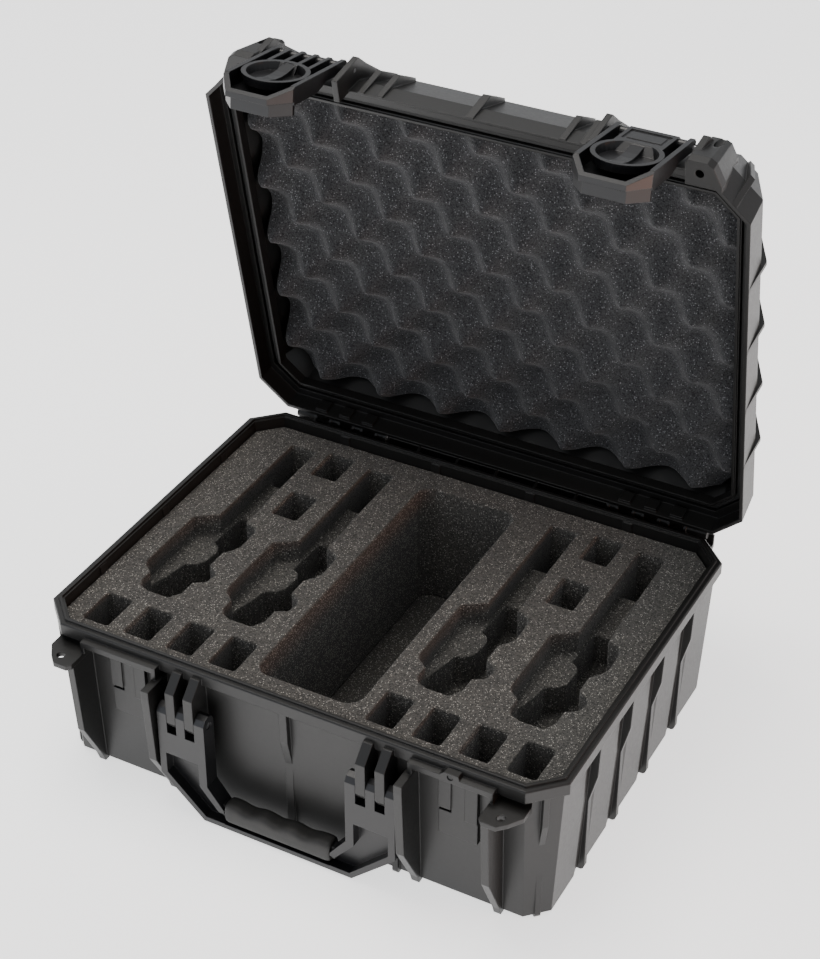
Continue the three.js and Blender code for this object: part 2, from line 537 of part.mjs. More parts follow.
function handle() {
  const parts = [];
  for (const s of [-1, 1]) {
    // three knuckles at the top of each arm
    for (const [a, b] of HANDLE_LUGS) {
      const lug = [[-16, -76], [-1, -76], [-1, -41], [-3.4, -36.4], [-8, -34.4], [-13, -36.4], [-16, -41]];
      parts.push(prismX(lug, ...span(s, a, b)));
    }
    const side = onSide(s, [[65, -60], [65, -105], [50, -125], [50, -144], [70, -144], [109.8, -106],
      [109.8, -60]]);
    const pocket = onSide(s, [[72.4, -83], [72.4, -107], [55, -128], [30, -128], [30, -139], [68, -139], [103.6, -104],
      [103.6, -83]]);
    parts.push(prismY(side, HANDLE_FRONT, HANDLE_BACK).subtract(prismY(pocket, HANDLE_FRONT - 1, HANDLE_FRONT + 9)));
  }
  const flange = box(-51, 51, HANDLE_FRONT, HANDLE_BACK, -144, -139.4);
  const core = box(-53, 53, ...GRIP_CORE.y, ...GRIP_CORE.z);
  let body = union([...parts, flange, core]);
  for (const s of [-1, 1]) body = body.subtract(rod(3.3, ...span(s, 60, 115), HANDLE_PIN.y, HANDLE_PIN.z, 16));
  return body;
}

// soft sleeve moulded round the core bar of the handle
function handleGrip() {
  const section = Array.from({ length: 16 }, (_, i) => {
    const a = (Math.PI * (i + 0.5)) / 8;
    const corner = 0.85;        // below 1 squares the oval up
    const c = Math.sign(Math.cos(a)) * Math.abs(Math.cos(a)) ** corner;
    const d = Math.sign(Math.sin(a)) * Math.abs(Math.sin(a)) ** corner;
    return [-8.4 + 9.1 * c, -127.5 + 11.2 * d];
  });
  const [y0, y1] = GRIP_CORE.y, [z0, z1] = GRIP_CORE.z;
  return prismX(section, -49.6, 49.6).subtract(box(-60, 60, y0 - GAP, y1 + GAP, z0 - GAP, z1 + GAP));
}

const pinAcross = (radius, a, b, { y, z }) => (s) => rod(radius, ...span(s, a, b), y, z, 16);

// ---- assembly -----------------------------------------------------------------------------------------
const root = new THREE.Group();
root.name = 'carrying_case';

function addMesh(name, part, material) {
  const m = part.getMesh();
  const g = new THREE.BufferGeometry();
  g.setAttribute('position', new THREE.BufferAttribute(new Float32Array(m.vertProperties), 3));
  g.setIndex(new THREE.BufferAttribute(new Uint32Array(m.triVerts), 1));
  g.computeVertexNormals();
  const mesh = new THREE.Mesh(g, material);
  mesh.name = name;
  root.add(mesh);
}

const toFloor = new THREE.Matrix4().makeTranslation(0, -RIM_D / 2, TUB_H + FOOT_H);
const swing = new THREE.Matrix4().makeTranslation(0, HINGE_Y, HINGE_Z)
  .multiply(new THREE.Matrix4().makeRotationX(-THREE.MathUtils.degToRad(LID_OPEN)))
  .multiply(new THREE.Matrix4().makeTranslation(0, -HINGE_Y, -HINGE_Z));
const openLid = new THREE.Matrix4().multiplyMatrices(toFloor, swing);

const onBase = (name, part, material) => addMesh(name, part.transform(toFloor.elements), material);
const onLid = (name, part, material) => addMesh(name, part.transform(openLid.elements), material);

onBase('base_shell', baseShell(), SHELL);
onBase('foam_upper_layer', foamUpper(), FOAM);
onBase('foam_middle_layer', foamMiddle(), FOAM);
onBase('foam_bottom_pad', foamBlock(LAYERS.pad), FOAM);
onBase('pressure_valve', ventCylinder(2.3, -5.7, -2.9), RUBBER);
onBase('handle', handle(), GLOSSY);
onBase('handle_grip', handleGrip(), RUBBER);

onLid('lid_shell', lidShell(), SHELL);
onLid('lid_seal', lidSeal(), RUBBER);
onLid('lid_convoluted_foam', lidFoam(), LID_FOAM);

for (const [side, s, insert] of [['left', -1, latchInsertFins], ['right', 1, latchInsertPlate]]) {
  onLid(`latch_${side}_frame`, placeLatch(latchFrame(), s), GLOSSY);
  onLid(`latch_${side}_insert`, placeLatch(insert(), s), GLOSSY);
  onLid(`latch_${side}_pin`, pinAcross(1.8, 109.6, 194.6, LATCH_PIN)(s), STEEL);
  onBase(`hinge_${side}_pin`, pinAcross(1.8, 113, 204, { y: HINGE_Y, z: HINGE_Z })(s), STEEL);
  onBase(`handle_${side}_pin`, pinAcross(3, 66, 110, HANDLE_PIN)(s), STEEL);
}

export default root;
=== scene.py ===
# %% [markdown]
# # A moulded carrying case with die-cut foam
# The case is an injection-moulded shell in two halves, hinged at the back and closed by two latches. The CAD
# model already holds every hard part at its true size, so this file gives those parts their finishes and
# builds the soft ones, the foams and the seal, again as detailed meshes. All lengths are in metres.

# %% Load the fixed frame
import json
import math

import bpy
import bmesh
from mathutils import Matrix, Vector, noise


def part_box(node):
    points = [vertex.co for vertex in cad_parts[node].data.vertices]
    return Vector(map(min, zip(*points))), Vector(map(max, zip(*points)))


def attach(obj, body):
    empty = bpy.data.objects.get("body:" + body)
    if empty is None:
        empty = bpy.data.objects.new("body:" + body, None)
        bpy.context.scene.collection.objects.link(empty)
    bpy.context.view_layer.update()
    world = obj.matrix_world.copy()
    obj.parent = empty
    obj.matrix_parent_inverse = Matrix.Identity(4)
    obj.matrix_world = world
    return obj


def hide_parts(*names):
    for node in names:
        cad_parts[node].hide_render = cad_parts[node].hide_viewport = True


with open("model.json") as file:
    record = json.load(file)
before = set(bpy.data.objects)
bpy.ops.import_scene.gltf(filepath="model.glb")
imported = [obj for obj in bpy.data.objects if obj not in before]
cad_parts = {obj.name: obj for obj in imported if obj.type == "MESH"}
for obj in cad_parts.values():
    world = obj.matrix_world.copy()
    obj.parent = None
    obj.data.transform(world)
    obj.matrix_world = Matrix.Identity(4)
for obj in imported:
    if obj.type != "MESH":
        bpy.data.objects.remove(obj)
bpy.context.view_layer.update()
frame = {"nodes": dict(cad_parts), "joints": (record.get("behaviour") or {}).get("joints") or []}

nodes = frame["nodes"]
joints = {joint["name"]: joint for joint in frame["joints"]}
print("CAD nodes:", len(nodes), "joints:", sorted(joints))

# %% [markdown]
# ## Where things are
# The rim of the base is the natural reference: its front edge, its top and its width place the foam and the
# seal. Lid parts are easier to draw with the lid shut and then swing open about the hinge pin, so one matrix
# holds that swing.

# %% Reference lengths from the CAD boxes
MM = 0.001
foam_low, foam_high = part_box("foam_upper_layer")
FOAM_TOP = foam_high.z
RIM_TOP = FOAM_TOP + 10 * MM
RIM_FRONT = foam_low.y - 9.7 * MM
RIM_WIDTH = 475 * MM
RIM_DEPTH = 362 * MM
LID_SWING = math.radians(-joints["lid_hinge"]["range_deg"][0])
hinge = Vector(joints["lid_hinge"]["pos_m"])
OPEN_LID = Matrix.Translation(hinge) @ Matrix.Rotation(-LID_SWING, 4, "X") @ Matrix.Translation(-hinge)


def rim_point(x, y, z):
    """A point given in mm from the middle of the rim's front top edge."""
    return Vector((x * MM, RIM_FRONT + y * MM, RIM_TOP + z * MM))


print("rim top %.4f m, front edge %.4f m" % (RIM_TOP, RIM_FRONT))

# %% [markdown]
# ## Camera
# A long lens, about 80 mm, stands well back and looks down at 35 degrees from the front right. The case then
# shows both its open foam and its front wall with little perspective.

# %% Camera at its viewing angle
CAMERA_AZIMUTH = math.radians(28.0242)
CAMERA_ELEVATION = math.radians(34.9654)
CAMERA_ROLL = math.radians(0.2165)
CAMERA_DISTANCE = 4.0488 * RIM_WIDTH
CAMERA_TARGET = rim_point(-56.1, 318.7, 0)

toward_camera = Vector((
    math.sin(CAMERA_AZIMUTH) * math.cos(CAMERA_ELEVATION),
    -math.cos(CAMERA_AZIMUTH) * math.cos(CAMERA_ELEVATION),
    math.sin(CAMERA_ELEVATION),
))
camera_data = bpy.data.cameras.new("camera")
camera_data.lens = 79.97
camera_data.sensor_width = 36
camera_data.clip_end = 20
camera = bpy.data.objects.new("camera", camera_data)
bpy.context.scene.collection.objects.link(camera)
level = toward_camera.to_track_quat("Z", "Y").to_matrix().to_4x4()
camera.matrix_world = (
    Matrix.Translation(CAMERA_TARGET + toward_camera * CAMERA_DISTANCE)
    @ level @ Matrix.Rotation(CAMERA_ROLL, 4, "Z")
)
bpy.context.scene.camera = camera
print("camera at", [round(c, 3) for c in camera.matrix_world.translation])

# %% [markdown]
# ## Material helpers
# Hex colours are read from swatches in sRGB, while shaders mix light in linear numbers, so one function turns
# the first into the second. Another adds a node with its settings and links in one call.

# %% Colour and node helpers
def linear(hex_colour):
    """An sRGB hex string as a linear RGBA tuple."""
    channels = [int(hex_colour[i:i + 2], 16) / 255 for i in (1, 3, 5)]
    return tuple(c / 12.92 if c <= 0.04045 else ((c + 0.055) / 1.055) ** 2.4 for c in channels) + (1,)


def add(tree, kind, inputs=None, stops=(), **settings):
    """Adds a shader node. A value in inputs is either a number, a colour or an output socket to link, and
    stops are the (position, colour) pairs of a colour ramp."""
    node = tree.nodes.new("ShaderNode" + kind)
    for name, value in settings.items():
        setattr(node, name, value)
    for i, (position, colour) in enumerate(stops):
        node.color_ramp.elements[i].position = position
        node.color_ramp.elements[i].color = colour
    for name, value in (inputs or {}).items():
        if isinstance(value, bpy.types.NodeSocket):
            tree.links.new(value, node.inputs[name])
        else:
            node.inputs[name].default_value = value
    return node


def new_material(name):
    """A material with an empty tree, its Principled shader and its output."""
    material = bpy.data.materials.new(name)
    material.use_nodes = True
    tree = material.node_tree
    tree.nodes.clear()
    shader = add(tree, "BsdfPrincipled")
    add(tree, "OutputMaterial", {"Surface": shader.outputs["BSDF"]})
    return material, tree, shader


def per_mm(size_mm):
    """Texture scale for a pattern that repeats about every size_mm."""
    return 1 / (size_mm * MM)


print("helpers ready; mid grey is", round(linear("#808080")[0], 3), "linear")

# %% [markdown]
# ## Moulded shell plastic
# The shell is polypropylene, moulded in a spark-eroded tool that leaves a fine pebble. The real pebble is about
# half a millimetre, and it is drawn at 0.9 mm so that it shows. The plastic is almost black and softly glossy:
# the eye reads it by broad dull reflections, by paler edges and by faint cloudy handling marks. The pale edges
# are painted into the colour, part wear and part painted highlight. A Bevel node rounds the corners by 0.4 to
# 1.2 mm in shading only, since a moulding never has a knife edge.

# %% Moulded polypropylene and nylon
def edge_mask(tree, radius_mm):
    """Rounded normal for small mouldings, and a mask that is bright along their edges."""
    rounded = add(tree, "Bevel", {"Radius": radius_mm * MM}, samples=4)
    flat = add(tree, "NewGeometry")
    facing = add(tree, "VectorMath", {0: rounded.outputs["Normal"], 1: flat.outputs["Normal"]},
                 operation="DOT_PRODUCT")
    mask = add(tree, "MapRange", {"Value": facing.outputs["Value"], "From Min": 0.995, "From Max": 0.80,
                                  "To Min": 0.0, "To Max": 1.0})
    return rounded.outputs["Normal"], mask.outputs["Result"]


def moulded_plastic(name, base, wear_and_highlight_colour, roughness, pebble_mm, pebble_depth, edge_mm):
    """A dark moulded plastic: cloudy base colour, pale edges painted as wear and as a highlight, moulded pebble
    and rounded corners.
    """
    material, tree, shader = new_material(name)
    where = add(tree, "TexCoord").outputs["Object"]
    clouds = add(tree, "TexNoise", {"Vector": where, "Scale": per_mm(70), "Detail": 3.0, "Roughness": 0.6})
    fine = add(tree, "TexNoise", {"Vector": where, "Scale": per_mm(3), "Detail": 4.0, "Roughness": 0.65})
    rounded, edge = edge_mask(tree, edge_mm)
    body = add(tree, "ValToRGB", {"Fac": clouds.outputs["Fac"]},
                stops=[(0.3, linear(base[0])), (0.72, linear(base[1]))]).outputs["Color"]
    scuffs = add(tree, "MapRange", {"Value": fine.outputs["Fac"], "From Min": 0.42, "From Max": 0.68})
    # Pale edges painted into the colour: part wear (edge mask times scuff noise), part painted highlight.
    wear_and_highlight = add(tree, "Math", {0: edge, 1: scuffs.outputs["Result"]}, operation="MULTIPLY")
    wear_and_highlight_share = add(tree, "Math", {0: wear_and_highlight.outputs["Value"], 1: 0.35}, operation="MULTIPLY")
    colour = add(tree, "MixRGB", {"Fac": wear_and_highlight_share.outputs["Value"], "Color1": body, "Color2": linear(wear_and_highlight_colour)})
    gloss = add(tree, "MapRange", {"Value": fine.outputs["Fac"], "From Min": 0.3, "From Max": 0.7,
                                   "To Min": roughness - 0.03, "To Max": roughness + 0.04})
    pebble = add(tree, "TexNoise", {"Vector": where, "Scale": per_mm(pebble_mm), "Detail": 2.0})
    relief = add(tree, "Bump", {"Height": pebble.outputs["Fac"], "Normal": rounded,
                                "Distance": pebble_depth * MM, "Strength": 0.6})
    tree.links.new(colour.outputs["Color"], shader.inputs["Base Color"])
    tree.links.new(gloss.outputs["Result"], shader.inputs["Roughness"])
    tree.links.new(relief.outputs["Normal"], shader.inputs["Normal"])
    shader.inputs["IOR"].default_value = 1.49
    return material


SHELL_PLASTIC = moulded_plastic("moulded_polypropylene", ("#090908", "#0F0E0D"), "#35322D",
                                roughness=0.42, pebble_mm=0.9, pebble_depth=0.05, edge_mm=1.2)
HARDWARE_PLASTIC = moulded_plastic("glass_filled_nylon", ("#0B0B0D", "#121214"), "#3A3834",
                                   roughness=0.36, pebble_mm=1.4, pebble_depth=0.02, edge_mm=0.7)
VENT_PLASTIC = moulded_plastic("vent_plug_plastic", ("#121212", "#191919"), "#3A3835",
                               roughness=0.5, pebble_mm=1.0, pebble_depth=0.05, edge_mm=0.4)
print("plastics:", SHELL_PLASTIC.name, HARDWARE_PLASTIC.name, VENT_PLASTIC.name)

# %% [markdown]
# ## Rubber and steel
# The grip is an over-moulded thermoplastic rubber: darker and duller than the plastic round it, with a soft
# edge sheen. The seal is solid EPDM rubber. The pins are drawn steel wire, whose fine lines run along them.

# %% Grip rubber, seal rubber and drawn steel
def soft_rubber(name, low, high, roughness, grain_mm):
    """A dull rubber with a fine even grain."""
    material, tree, shader = new_material(name)
    where = add(tree, "TexCoord").outputs["Object"]
    dust = add(tree, "TexNoise", {"Vector": where, "Scale": per_mm(12), "Detail": 5.0, "Roughness": 0.7})
    grain = add(tree, "TexNoise", {"Vector": where, "Scale": per_mm(grain_mm), "Detail": 2.0})
    colour = add(tree, "ValToRGB", {"Fac": dust.outputs["Fac"]},
                stops=[(0.35, linear(low)), (0.75, linear(high))]).outputs["Color"]
    relief = add(tree, "Bump", {"Height": grain.outputs["Fac"], "Distance": 0.12 * MM, "Strength": 0.7})
    tree.links.new(colour, shader.inputs["Base Color"])
    tree.links.new(relief.outputs["Normal"], shader.inputs["Normal"])
    shader.inputs["Roughness"].default_value = roughness
    shader.inputs["IOR"].default_value = 1.52
    return material


def drawn_steel(name):
    """Bright steel wire with faint lines along X, the way the pins lie."""
    material, tree, shader = new_material(name)
    where = add(tree, "TexCoord").outputs["Object"]
    stretched = add(tree, "Mapping", {"Vector": where, "Scale": (0.02, 1, 1)})
    lines = add(tree, "TexNoise", {"Vector": stretched.outputs["Vector"], "Scale": per_mm(0.5), "Detail": 2.0})
    colour = add(tree, "ValToRGB", {"Fac": lines.outputs["Fac"]},
                stops=[(0.3, linear("#8C8C8E")), (0.7, linear("#B4B4B6"))]).outputs["Color"]
    gloss = add(tree, "MapRange", {"Value": lines.outputs["Fac"], "To Min": 0.24, "To Max": 0.42})
    tree.links.new(colour, shader.inputs["Base Color"])
    tree.links.new(gloss.outputs["Result"], shader.inputs["Roughness"])
    shader.inputs["Metallic"].default_value = 1.0
    return material


GRIP_RUBBER = soft_rubber("overmoulded_grip_rubber", "#161615", "#24221F", 0.62, 0.7)
SEAL_RUBBER = soft_rubber("epdm_seal_rubber", "#101010", "#1B1B1A", 0.7, 0.9)
PIN_STEEL = drawn_steel("drawn_steel_wire")
print("rubber and steel:", GRIP_RUBBER.name, SEAL_RUBBER.name, PIN_STEEL.name)

# %% [markdown]
# ## Polyurethane foam
# The inserts are open-cell polyurethane foam, die-cut from sheet. The cells are about a millimetre across. Cut
# cells make a rough sparkling skin: most of it is charcoal, and the open cells between them are near black. The
# sparkle, single cell walls that catch the light, is painted into the colour as pale flecks, a painted
# highlight.
# Foam scatters light and has no gloss.

# %% Charcoal foams
def cut_foam(name, dark, middle, painted_glint_colour, cell_mm, glint_share):
    """Open-cell foam: dark cells, mid-grey body, and pale flecks painted in as highlights where a cut wall
    would catch the light.
    """
    material, tree, shader = new_material(name)
    where = add(tree, "TexCoord").outputs["Object"]
    cells = add(tree, "TexVoronoi", {"Vector": where, "Scale": per_mm(cell_mm)}, feature="F1")
    grain = add(tree, "TexNoise", {"Vector": where, "Scale": per_mm(cell_mm * 1.1), "Detail": 3.0,
                                   "Roughness": 0.7})
    mottle = add(tree, "TexNoise", {"Vector": where, "Scale": per_mm(26), "Detail": 3.0})
    body = add(tree, "ValToRGB", {"Fac": grain.outputs["Fac"]},
                stops=[(0.36, linear(dark)), (0.56, linear(middle))]).outputs["Color"]
    pick = add(tree, "SeparateColor", {"Color": cells.outputs["Color"]})
    # The pale flecks are a painted highlight: chosen cells are painted pale near their centres, standing in for
    # cell walls that glint.
    chosen = add(tree, "Math", {0: pick.outputs["Red"], 1: 1 - glint_share}, operation="GREATER_THAN")
    near = add(tree, "MapRange", {"Value": cells.outputs["Distance"], "From Min": 0.45, "From Max": 0.15})
    painted_glint = add(tree, "Math", {0: chosen.outputs["Value"], 1: near.outputs["Result"]}, operation="MULTIPLY")
    colour = add(tree, "MixRGB", {"Fac": painted_glint.outputs["Value"], "Color1": body, "Color2": linear(painted_glint_colour)})
    shade = add(tree, "ValToRGB", {"Fac": mottle.outputs["Fac"]},
                stops=[(0.3, (0.82, 0.82, 0.84, 1)), (0.7, (1.0, 1.0, 1.0, 1))]).outputs["Color"]
    final = add(tree, "MixRGB", {"Fac": 1.0, "Color1": colour.outputs["Color"], "Color2": shade},
                blend_type="MULTIPLY")
    pits = add(tree, "Bump", {"Height": cells.outputs["Distance"], "Distance": 0.5 * MM, "Strength": 0.8},
               invert=True)
    relief = add(tree, "Bump", {"Height": grain.outputs["Fac"], "Normal": pits.outputs["Normal"],
                                "Distance": 0.5 * MM, "Strength": 0.9})
    tree.links.new(final.outputs["Color"], shader.inputs["Base Color"])
    tree.links.new(relief.outputs["Normal"], shader.inputs["Normal"])
    shader.inputs["Roughness"].default_value = 0.95
    shader.inputs["Specular IOR Level"].default_value = 0.25
    shader.inputs["Sheen Weight"].default_value = 0.12
    shader.inputs["Sheen Roughness"].default_value = 0.5
    return material


BASE_FOAM = cut_foam("die_cut_charcoal_foam", "#242423", "#55534F", "#B9B5AD", 1.3, 0.28)
LID_FOAM = cut_foam("convoluted_charcoal_foam", "#1D1D1E", "#434344", "#8E8E90", 1.4, 0.18)
print("foams:", BASE_FOAM.name, LID_FOAM.name)

# %% [markdown]
# ## Finish the hard parts
# Each hard part keeps its CAD mesh. A part only needs its material, so a table says which finish goes where.

# %% Assign finishes to the CAD parts
FINISHES = {
    "base_shell": SHELL_PLASTIC,
    "lid_shell": SHELL_PLASTIC,
    "handle": HARDWARE_PLASTIC,
    "pressure_valve": VENT_PLASTIC,
}
for side in ("left", "right"):
    FINISHES[f"latch_{side}_frame"] = HARDWARE_PLASTIC
    FINISHES[f"latch_{side}_insert"] = HARDWARE_PLASTIC
    for joint_name in ("latch", "hinge", "handle"):
        FINISHES[f"{joint_name}_{side}_pin"] = PIN_STEEL


def dress(obj, material):
    """Makes material the object's only one."""
    obj.data.materials.clear()
    obj.data.materials.append(material)


for node_name, finish in FINISHES.items():
    dress(nodes[node_name], finish)
print("finished", len(FINISHES), "hard parts")

# %% [markdown]
# ## Foam inserts in the base
# The foam is three glued layers: a sheet cut right through, a thick block with the deeper pockets, and a pad.
# The upper two are glued so well that no seam shows, so they are fused here. Each piece starts from its CAD
# solids. A voxel remesh gives it an even skin, which rounds the cut edges the way a steel-rule die leaves them,
# and a fine displacement tears the surface open at cell size.

# %% Remesh and roughen the foam layers
GLUE_LAP = 0.6 * MM         # the lower sheet is raised this much, so that the two meshes overlap and fuse


def evaluated_copy(obj, name):
    """The object's mesh with its modifiers applied, as a new mesh."""
    depsgraph = bpy.context.evaluated_depsgraph_get()
    mesh = bpy.data.meshes.new_from_object(obj.evaluated_get(depsgraph))
    mesh.name = name
    return mesh


def link_object(name, mesh):
    obj = bpy.data.objects.new(name, mesh)
    bpy.context.scene.collection.objects.link(obj)
    return obj


def roughen(mesh, cell_mm, depth_mm, seed):
    """Moves each vertex along its normal by layered noise, down to depth_mm either way."""
    shift = Vector((seed, seed * 1.7, seed * 0.6))
    moves = []
    for vertex in mesh.vertices:
        fine = noise.noise(vertex.co / (cell_mm * MM) + shift)
        broad = noise.noise(vertex.co / (cell_mm * 4 * MM) + shift)
        moves.append(vertex.normal * (0.7 * fine + 0.3 * broad) * depth_mm * MM)
    for vertex, move in zip(mesh.vertices, moves):
        vertex.co += move


def foam_piece(name, node_names, voxel_mm, depth_mm, seed):
    """A detailed foam piece that stands for one or more stacked CAD foam solids, top one first."""
    blank = bmesh.new()
    for i, node_name in enumerate(node_names):
        layer = nodes[node_name].data.copy()
        layer.transform(Matrix.Translation((0, 0, i * GLUE_LAP)))
        blank.from_mesh(layer)
    bmesh.ops.remove_doubles(blank, verts=blank.verts, dist=0.01 * MM)
    mesh = bpy.data.meshes.new("foam_blank")
    blank.to_mesh(mesh)
    blank.free()
    obj = link_object("foam_blank", mesh)
    remesh = obj.modifiers.new("even_skin", "REMESH")
    remesh.mode = "VOXEL"
    remesh.voxel_size = voxel_mm * MM
    soften = obj.modifiers.new("soften", "SMOOTH")
    soften.factor = 0.5
    soften.iterations = 1
    skin = evaluated_copy(obj, name)
    bpy.data.objects.remove(obj)
    roughen(skin, 1.8, depth_mm, seed)
    piece = link_object(name, skin)
    for polygon in skin.polygons:
        polygon.use_smooth = True
    dress(piece, BASE_FOAM)
    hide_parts(*node_names)
    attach(piece, "base")
    print(piece.name, len(skin.vertices), "vertices")


foam_piece("foam_block_die_cut", ["foam_upper_layer", "foam_middle_layer"], 1.3, 0.4, 1.0)
foam_piece("foam_pad", ["foam_bottom_pad"], 2.5, 0.4, 3.0)

# %% [markdown]
# ## Convoluted foam in the lid
# Egg-crate foam is made by pressing a sheet between shaped rollers and slicing it, which leaves staggered
# peaks and hollows. The surface is a product of two cosines, with its peaks pinched to points, on a grid that
# follows the chamfered outline. It is drawn with the lid shut, facing down, and then swung open.

# %% Build the convoluted sheet
EGG_PITCH = 31.0
EGG_MIDDLE = 17.0
EGG_DEPTH = 13.0
SHEET_HALF = 224.6
SHEET_FRONT = 12.9
SHEET_BACK = 349.1
SHEET_CHAMFER = 18.0
SHEET_TOP = 51.2
BACK_SHRINK_X, BACK_SHRINK_Y = 0.955, 0.945     # the sheet's flat back is a little smaller than its face
CUSP = 1.25                                     # how sharply the peaks are pinched
FINE_CELL_MM, BROAD_CELL_MM, TEAR_MM = 1.9, 9, 0.5
COLUMNS, ROWS = 300, 224


def egg_height(x, y):
    """Height of the foam face over the parting plane, in mm, lid shut."""
    wave = math.cos(math.pi * x / EGG_PITCH) * math.cos(math.pi * y / EGG_PITCH)
    return EGG_MIDDLE - EGG_DEPTH + 2 * EGG_DEPTH * math.sqrt((1 + wave) / 2) ** CUSP


def half_width(y):
    """Half the sheet's width at y, with the corners cut off at 45 degrees."""
    inward = max(0.0, SHEET_CHAMFER - (y - SHEET_FRONT), SHEET_CHAMFER - (SHEET_BACK - y))
    return SHEET_HALF - inward


def egg_crate():
    sheet = bmesh.new()
    grid = []
    for row in range(ROWS + 1):
        y = SHEET_FRONT + (SHEET_BACK - SHEET_FRONT) * row / ROWS
        line = []
        for column in range(COLUMNS + 1):
            x = half_width(y) * (2 * column / COLUMNS - 1)
            z = egg_height(x, y)
            place = Vector((x, y, z))
            z += TEAR_MM * noise.noise(place / FINE_CELL_MM) + TEAR_MM * noise.noise(place / BROAD_CELL_MM)
            line.append(sheet.verts.new(rim_point(x, y, z)))
        grid.append(line)
    for row in range(ROWS):
        for column in range(COLUMNS):
            sheet.faces.new((grid[row][column], grid[row + 1][column],
                             grid[row + 1][column + 1], grid[row][column + 1]))
    edge = (grid[0] + [line[-1] for line in grid[1:]] + grid[-1][-2::-1]
            + [line[0] for line in grid[-2:0:-1]])
    back = []
    middle = rim_point(0, (SHEET_FRONT + SHEET_BACK) / 2, SHEET_TOP)
    for vertex in edge:
        back.append(sheet.verts.new((middle.x + (vertex.co.x - middle.x) * BACK_SHRINK_X,
                                     middle.y + (vertex.co.y - middle.y) * BACK_SHRINK_Y, middle.z)))
    for i in range(len(edge)):
        j = (i + 1) % len(edge)
        sheet.faces.new((edge[i], edge[j], back[j], back[i]))
    sheet.faces.new(back)
    bmesh.ops.recalc_face_normals(sheet, faces=sheet.faces)
    mesh = bpy.data.meshes.new("lid_egg_crate_foam")
    sheet.to_mesh(mesh)
    sheet.free()
    mesh.transform(OPEN_LID)
    for polygon in mesh.polygons:
        polygon.use_smooth = len(polygon.vertices) == 4
    return link_object("lid_egg_crate_foam", mesh)


lid_foam = egg_crate()
dress(lid_foam, LID_FOAM)
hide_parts("lid_convoluted_foam")
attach(lid_foam, "lid")
print(lid_foam.name, len(lid_foam.data.vertices), "vertices")

# %% [markdown]
# ## Grip
# The grip is a soft sleeve moulded round the bar of the handle. Its section is a rounded box, and its upper
# side dips where three fingers lie, 27 mm apart, so a swept section follows that curve.

# %% Sweep the grip along the handle bar
GRIP_HALF = 49.6
GRIP_MIDDLE = (-8.4, -127.6)
FINGER_DIPS = (-28, -1, 26)
DIP_WIDTH, DIP_DEPTH = 8, 3.0
END_ROUNDING = 5
SQUARENESS = 0.6            # 1 is an ellipse, and smaller is nearer to a box
RING_POINTS, STATIONS = 40, 96


def grip_ring(tube, x):
    """One closed section at x: a rounded box that dips on top at each finger and rounds off at the ends."""
    end = math.sqrt(max(0.0, 1 - max(0.0, (abs(x) - GRIP_HALF + END_ROUNDING) / END_ROUNDING) ** 2))
    dip = sum(math.exp(-((x - finger) / DIP_WIDTH) ** 2) for finger in FINGER_DIPS)
    ring = []
    for step in range(RING_POINTS):
        angle = 2 * math.pi * (step + 0.5) / RING_POINTS
        across = math.copysign(abs(math.cos(angle)) ** SQUARENESS, math.cos(angle))
        up = math.copysign(abs(math.sin(angle)) ** SQUARENESS, math.sin(angle))
        lowered = DIP_DEPTH * dip * max(0.0, up)
        ring.append(tube.verts.new(rim_point(x, GRIP_MIDDLE[0] + across * (7.2 + 1.3 * end),
                                             GRIP_MIDDLE[1] + up * (8.6 + 1.6 * end) - lowered)))
    return ring


grip_tube = bmesh.new()
rings = [grip_ring(grip_tube, GRIP_HALF * (2 * k / STATIONS - 1)) for k in range(STATIONS + 1)]
for low, high in zip(rings, rings[1:]):
    for k in range(len(low)):
        m = (k + 1) % len(low)
        grip_tube.faces.new((low[k], low[m], high[m], high[k]))
grip_tube.faces.new(rings[0])
grip_tube.faces.new(rings[-1])
bmesh.ops.recalc_face_normals(grip_tube, faces=grip_tube.faces)
grip_mesh = bpy.data.meshes.new("finger_grip_sleeve")
grip_tube.to_mesh(grip_mesh)
grip_tube.free()
for polygon in grip_mesh.polygons:
    polygon.use_smooth = len(polygon.vertices) == 4
grip = link_object("finger_grip_sleeve", grip_mesh)
dress(grip, GRIP_RUBBER)
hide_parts("handle_grip")
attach(grip, "carry_handle")
print(grip.name, len(grip_mesh.vertices), "vertices")

# %% [markdown]
# ## Seal
# The seal is an extruded rubber cord pressed into its groove, so its section is round on top. A closed path
# along the groove with a swept D section gives that, with the corners turned on a small radius.

# %% Sweep the seal along its groove
def chamfered_path(inset, height, corner_cut, radius, arc_steps=4):
    """Points along the rim outline, inset from its edge, with each of its eight corners rounded."""
    half = RIM_WIDTH / MM / 2 - inset
    depth = RIM_DEPTH / MM
    cut = corner_cut - 0.586 * inset
    corners = [(-half + cut, inset), (half - cut, inset), (half, inset + cut), (half, depth - inset - cut),
               (half - cut, depth - inset), (-half + cut, depth - inset), (-half, depth - inset - cut),
               (-half, inset + cut)]
    path = []
    for i, corner in enumerate(corners):
        here = Vector(corner)
        before = (Vector(corners[i - 1]) - here).normalized()
        after = (Vector(corners[(i + 1) % len(corners)]) - here).normalized()
        for step in range(arc_steps + 1):
            t = step / arc_steps
            start, end = here + before * radius, here + after * radius
            path.append((1 - t) ** 2 * start + 2 * t * (1 - t) * here + t ** 2 * end)
    return [rim_point(p.x, p.y, height) for p in path]


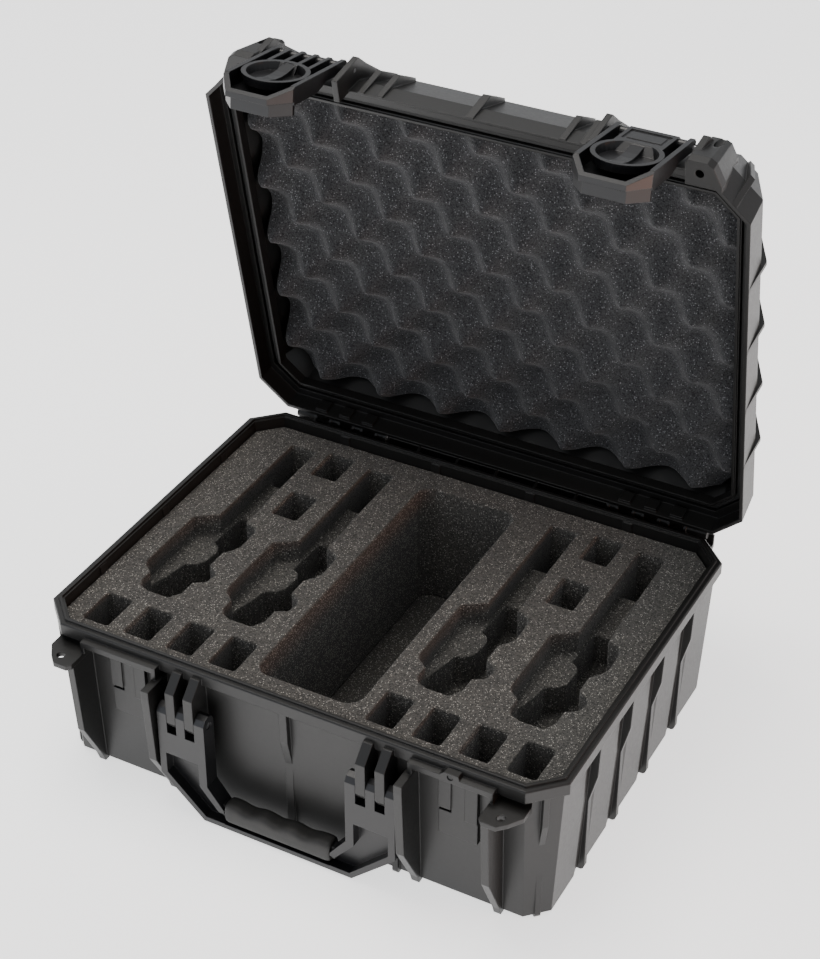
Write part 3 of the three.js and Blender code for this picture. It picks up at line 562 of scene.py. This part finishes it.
def sweep_closed(name, path, section):
    """A closed tube: section points are (outward, up) in mm, set square to the path in the XY plane."""
    tube = bmesh.new()
    rings = []
    for i, point in enumerate(path):
        along = (path[(i + 1) % len(path)] - path[i - 1]).normalized()
        outward = Vector((along.y, -along.x, 0))
        rings.append([tube.verts.new(point + outward * a * MM + Vector((0, 0, b * MM))) for a, b in section])
    for i, ring in enumerate(rings):
        after = rings[(i + 1) % len(rings)]
        for k in range(len(section)):
            m = (k + 1) % len(section)
            tube.faces.new((ring[k], after[k], after[m], ring[m]))
    bmesh.ops.recalc_face_normals(tube, faces=tube.faces)
    mesh = bpy.data.meshes.new(name)
    tube.to_mesh(mesh)
    tube.free()
    for polygon in mesh.polygons:
        polygon.use_smooth = True
    return mesh


seal_section = [(2.2 * math.cos(a), 3.7 - 1.25 * math.sin(a)) for a in
                [math.pi * step / 10 for step in range(11)]] + [(-2.2, 4.8), (2.2, 4.8)]
seal_path = chamfered_path(5.9, 0, 25.4, 6)
seal_mesh = sweep_closed("lid_seal_cord", seal_path, seal_section)
seal_mesh.transform(OPEN_LID)
seal = link_object("lid_seal_cord", seal_mesh)
dress(seal, SEAL_RUBBER)
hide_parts("lid_seal")
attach(seal, "lid")
print(seal.name, len(seal_mesh.vertices), "vertices")

# %% [markdown]
# ## Floor and light
# A pale floor and a pale surround give a shadow under the case and soft reflections in the plastic. The floor
# also glows a little, which keeps it pale however the lamps are set. One large lamp overhead does most of the
# work, a warm one low at the right rakes along the side wall, and a cool weak one from the front left fills the
# front wall.

# %% Stage and lamps
def floor_material():
    """Matt pale studio paper with a faint unevenness."""
    material, tree, shader = new_material("studio_paper")
    where = add(tree, "TexCoord").outputs["Object"]
    patches = add(tree, "TexNoise", {"Vector": where, "Scale": 1.5, "Detail": 2.0})
    colour = add(tree, "ValToRGB", {"Fac": patches.outputs["Fac"]},
                stops=[(0.3, linear("#ECECEC")), (0.7, linear("#F2F2F2"))]).outputs["Color"]
    tree.links.new(colour, shader.inputs["Base Color"])
    shader.inputs["Roughness"].default_value = 0.9
    shader.inputs["Emission Color"].default_value = linear("#F4F4F4")
    shader.inputs["Emission Strength"].default_value = 1.5
    return material


def area_lamp(name, position, aim, size, power, colour):
    """A square soft box at position that looks at aim."""
    lamp = bpy.data.lights.new(name, "AREA")
    lamp.size = size
    lamp.energy = power
    lamp.color = linear(colour)[:3]
    obj = bpy.data.objects.new(name, lamp)
    bpy.context.scene.collection.objects.link(obj)
    away = Vector(position) - Vector(aim)
    obj.matrix_world = Matrix.Translation(position) @ away.to_track_quat("Z", "Y").to_matrix().to_4x4()
    return obj


floor_mesh = bpy.data.meshes.new("floor")
floor_mesh.from_pydata([(-6, -6, 0), (6, -6, 0), (6, 6, 0), (-6, 6, 0)], [], [(0, 1, 2, 3)])
floor = link_object("floor", floor_mesh)
dress(floor, floor_material())

world = bpy.data.worlds.new("pale_surround")
bpy.context.scene.world = world
world.use_nodes = True
world.node_tree.nodes["Background"].inputs["Color"].default_value = linear("#F3F5F8")
world.node_tree.nodes["Background"].inputs["Strength"].default_value = 0.75
area_lamp("overhead_lamp", (-0.5, 0.2, 2.2), (0, 0, 0.2), 1.3, 34, "#FFFAF4")
area_lamp("warm_side_lamp", (1.9, 0.1, 0.35), (0.2, 0, 0.08), 0.6, 11, "#FF9A58")
area_lamp("cool_front_lamp", (-1.2, -1.9, 0.9), (0, 0, 0.1), 1.2, 4, "#DCE8FF")
